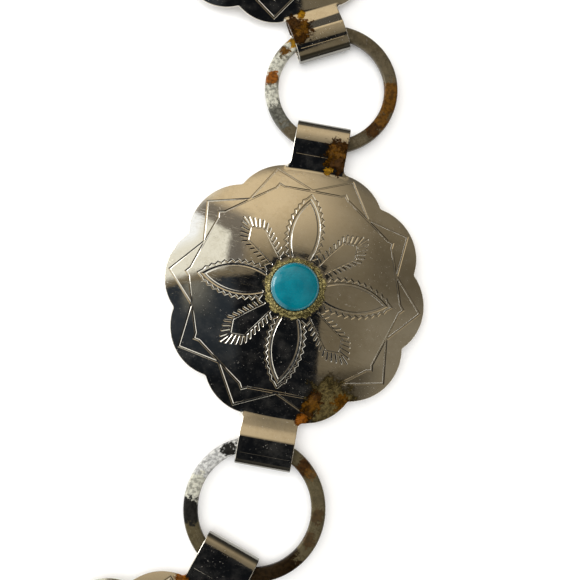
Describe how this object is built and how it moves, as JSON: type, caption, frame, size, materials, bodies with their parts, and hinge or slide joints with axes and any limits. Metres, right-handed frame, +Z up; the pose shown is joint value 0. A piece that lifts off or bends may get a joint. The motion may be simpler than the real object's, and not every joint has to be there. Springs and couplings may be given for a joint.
{
  "type": "concho belt",
  "caption": "Belt of domed, scalloped round metal conchos set with turquoise stones, linked by flat rings and closed by a flat hook, lying face up in a loop.",
  "frame": {"origin": "centre of the loop's footprint, on the surface that the belt lies on", "axes": "+Z up, out of the conchos' faces; +Y towards the hook, along the loop's long way; +X to the side on which conchos 1 to 6 lie"},
  "size_m": [0.3262, 0.3636, 0.0104],
  "materials": {
    "concho_metal": "polished nickel silver, stamped, with fine scratches, tarnish and rust spots",
    "ring_metal": "worn nickel silver with dull patches and brown stains",
    "hook_metal": "worn nickel silver, finely scratched",
    "turquoise": "smooth polished cabochon"
  },
  "bodies": {
    "root": {"concho_01": "concho_metal", "concho_02": "concho_metal", "concho_03": "concho_metal", "concho_04": "concho_metal", "concho_05": "concho_metal", "concho_06": "concho_metal", "concho_07": "concho_metal", "concho_08": "concho_metal", "concho_09": "concho_metal", "concho_10": "concho_metal", "concho_11": "concho_metal", "concho_12": "concho_metal", "turquoise_01": "turquoise", "turquoise_02": "turquoise", "turquoise_03": "turquoise", "turquoise_04": "turquoise", "turquoise_05": "turquoise", "turquoise_06": "turquoise", "turquoise_07": "turquoise", "turquoise_08": "turquoise", "turquoise_09": "turquoise", "turquoise_10": "turquoise", "turquoise_11": "turquoise", "turquoise_12": "turquoise", "ring_01": "ring_metal", "ring_02": "ring_metal", "ring_03": "ring_metal", "ring_04": "ring_metal", "ring_05": "ring_metal", "ring_06": "ring_metal", "ring_07": "ring_metal", "ring_08": "ring_metal", "ring_09": "ring_metal", "ring_10": "ring_metal", "ring_11": "ring_metal", "ring_12": "ring_metal", "ring_13": "ring_metal", "hook": "hook_metal"}
  },
  "joints": []
}
